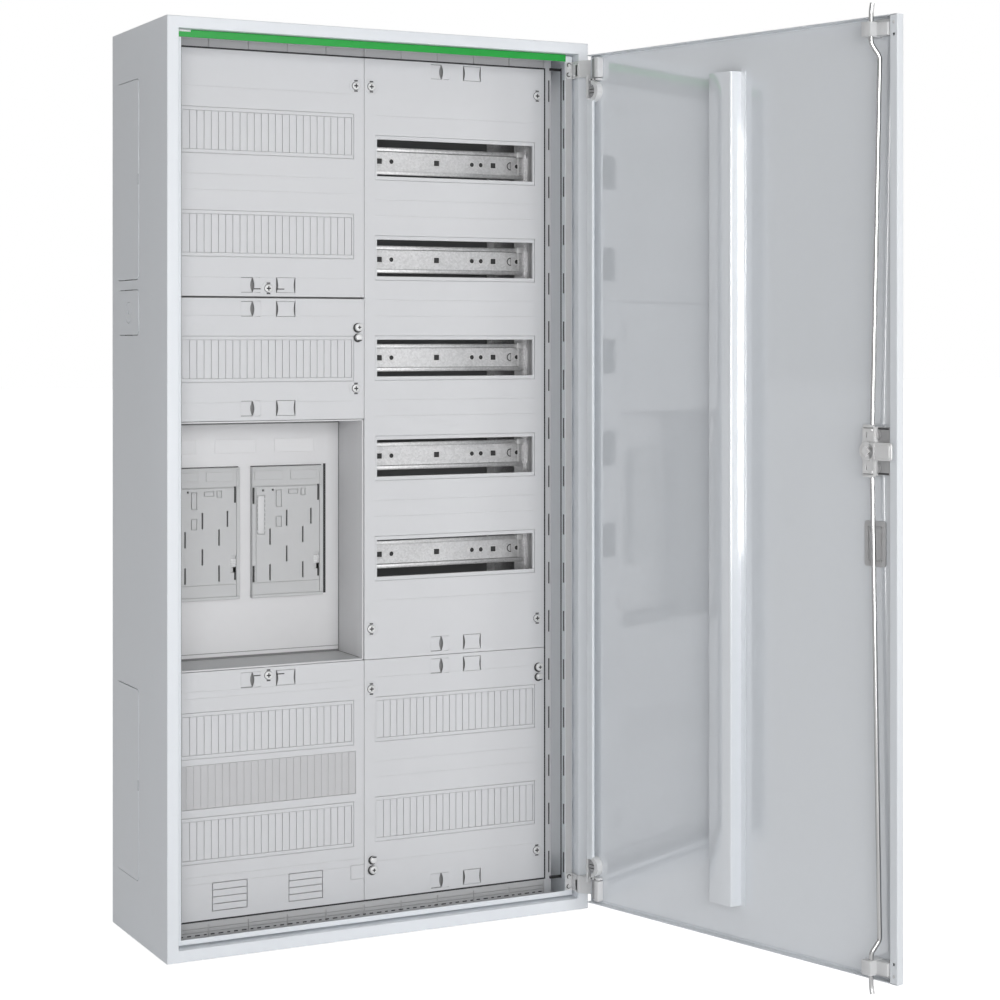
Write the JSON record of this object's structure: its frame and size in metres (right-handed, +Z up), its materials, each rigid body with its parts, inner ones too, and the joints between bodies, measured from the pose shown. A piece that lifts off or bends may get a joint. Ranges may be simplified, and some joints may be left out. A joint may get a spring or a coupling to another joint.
{
  "type": "meter and distribution cabinet",
  "caption": "Wall-mounted sheet-steel meter and distribution cabinet with open door, grey insulating covers, DIN rail windows, meter recess and two-point latch.",
  "frame": {"origin": "centre of the housing's footprint, on its underside (width and depth centred on the closed housing, not on the open door)", "axes": "+X to the right of someone facing the cabinet, -Y out of the front, +Y to the wall, +Z up; the door hangs on the right-hand side and is drawn open by 104.2 degrees"},
  "size_m": [0.6701, 0.7645, 1.1],
  "materials": {
    "housing_paint": "light grey-white powder coat, fine texture, semi-matt",
    "door_paint": "light grey-white powder coat, smooth and glossy on the inner face",
    "trim_green": "saturated green strip, satin gloss",
    "frame_plastic": "mid grey moulded plastic, matt",
    "cover_plastic": "light grey moulded plastic, satin",
    "tray_plastic": "light grey moulded plastic, matt",
    "zinc": "bright zinc-plated sheet steel",
    "rod_steel": "drawn zinc-plated round bar",
    "hinge_plastic": "white moulded plastic, satin",
    "handle_black": "black moulded plastic, satin"
  },
  "bodies": {
    "cabinet": {"back_panel": "housing_paint", "blanking_band": "frame_plastic", "centre_bar": "frame_plastic", "cover_left_bottom": "cover_plastic", "cover_left_middle": "cover_plastic", "cover_left_top": "cover_plastic", "cover_right_lower": "cover_plastic", "cover_right_upper": "cover_plastic", "cross_bar_lower": "frame_plastic", "cross_bar_upper": "frame_plastic", "din_rail_1": "zinc", "din_rail_2": "zinc", "din_rail_3": "zinc", "din_rail_4": "zinc", "din_rail_5": "zinc", "entry_plate_bottom": "housing_paint", "entry_plate_top": "housing_paint", "field_frame": "frame_plastic", "hinge_frame_leaf_lower": "hinge_plastic", "hinge_frame_leaf_upper": "hinge_plastic", "hinge_pin_lower": "zinc", "hinge_pin_upper": "zinc", "housing_shell": "housing_paint", "meter_board_left": "tray_plastic", "meter_board_right": "tray_plastic", "meter_tray": "tray_plastic", "seal_fitting_1": "zinc", "seal_fitting_2": "zinc", "seal_fitting_3": "zinc", "side_plate_lower": "housing_paint", "side_plate_middle": "housing_paint", "side_plate_upper": "housing_paint", "trim_strip": "trim_green", "upright_centre": "zinc", "upright_left": "zinc", "upright_right": "zinc"},
    "door": {"door_panel": "door_paint", "door_stiffener": "door_paint", "hinge_door_leaf_lower": "hinge_plastic", "hinge_door_leaf_upper": "hinge_plastic", "rod_guide_lower": "hinge_plastic", "rod_guide_upper": "hinge_plastic", "lock_case": "zinc", "handle_dish": "handle_black"},
    "handle": {"handle_lever": "handle_black", "latch_cam": "zinc"},
    "rod_upper_body": {"rod_upper": "rod_steel"},
    "rod_lower_body": {"rod_lower": "rod_steel"},
    "slider_left": {"board_slider_left": "tray_plastic"},
    "slider_right": {"board_slider_right": "tray_plastic"},
    "screw_01": {"cover_screw_01": "zinc"},
    "screw_02": {"cover_screw_02": "zinc"},
    "screw_03": {"cover_screw_03": "zinc"},
    "screw_04": {"cover_screw_04": "zinc"},
    "screw_05": {"cover_screw_05": "zinc"},
    "screw_06": {"cover_screw_06": "zinc"},
    "screw_07": {"cover_screw_07": "zinc"},
    "screw_08": {"cover_screw_08": "zinc"},
    "screw_09": {"cover_screw_09": "zinc"},
    "screw_10": {"cover_screw_10": "zinc"}
  },
  "joints": [
    {"name": "door_hinge", "type": "hinge", "parent": "cabinet", "child": "door", "pos_m": [0.2732, -0.1339, 0.55], "axis": [0, 0, 1], "range_deg": [-104.2, 15.8]},
    {"name": "handle_turn", "type": "hinge", "parent": "door", "child": "handle", "pos_m": [0.37221, -0.61243, 0.6015], "axis": [0.9694, 0.2453, 0], "range_deg": [0, 90]},
    {"name": "rod_upper_slide", "type": "slide", "parent": "door", "child": "rod_upper_body", "axis": [0, 0, -1], "range_m": [0, 0.0165]},
    {"name": "rod_lower_slide", "type": "slide", "parent": "door", "child": "rod_lower_body", "axis": [0, 0, 1], "range_m": [0, 0.0165]},
    {"name": "slider_left_slide", "type": "slide", "parent": "cabinet", "child": "slider_left", "axis": [0, 0, 1], "range_m": [-0.017, 0]},
    {"name": "slider_right_slide", "type": "slide", "parent": "cabinet", "child": "slider_right", "axis": [0, 0, 1], "range_m": [-0.017, 0]},
    {"name": "screw_01_turn", "type": "hinge", "parent": "cabinet", "child": "screw_01", "pos_m": [-0.125, -0.037, 0.786], "axis": [0, 1, 0], "range_deg": [0, 90]},
    {"name": "screw_02_turn", "type": "hinge", "parent": "cabinet", "child": "screw_02", "pos_m": [-0.0111, -0.037, 1.0385], "axis": [0, 1, 0], "range_deg": [0, 90]},
    {"name": "screw_03_turn", "type": "hinge", "parent": "cabinet", "child": "screw_03", "pos_m": [-0.0111, -0.037, 0.663], "axis": [0, 1, 0], "range_deg": [0, 90]},
    {"name": "screw_04_turn", "type": "hinge", "parent": "cabinet", "child": "screw_04", "pos_m": [-0.125, -0.037, 0.315], "axis": [0, 1, 0], "range_deg": [0, 90]},
    {"name": "screw_05_turn", "type": "hinge", "parent": "cabinet", "child": "screw_05", "pos_m": [0.0095, -0.037, 1.0385], "axis": [0, 1, 0], "range_deg": [0, 90]},
    {"name": "screw_06_turn", "type": "hinge", "parent": "cabinet", "child": "screw_06", "pos_m": [0.2397, -0.037, 1.0385], "axis": [0, 1, 0], "range_deg": [0, 90]},
    {"name": "screw_07_turn", "type": "hinge", "parent": "cabinet", "child": "screw_07", "pos_m": [0.0095, -0.037, 0.3632], "axis": [0, 1, 0], "range_deg": [0, 90]},
    {"name": "screw_08_turn", "type": "hinge", "parent": "cabinet", "child": "screw_08", "pos_m": [0.2397, -0.037, 0.3632], "axis": [0, 1, 0], "range_deg": [0, 90]},
    {"name": "screw_09_turn", "type": "hinge", "parent": "cabinet", "child": "screw_09", "pos_m": [0.0095, -0.037, 0.2884], "axis": [0, 1, 0], "range_deg": [0, 90]},
    {"name": "screw_10_turn", "type": "hinge", "parent": "cabinet", "child": "screw_10", "pos_m": [0.239, -0.037, 0.0633], "axis": [0, 1, 0], "range_deg": [0, 90]}
  ],
  "couplings": [
    {"joint": "rod_upper_slide", "follows": "handle_turn", "m_per_rad": 0.010504},
    {"joint": "rod_lower_slide", "follows": "handle_turn", "m_per_rad": 0.010504}
  ]
}
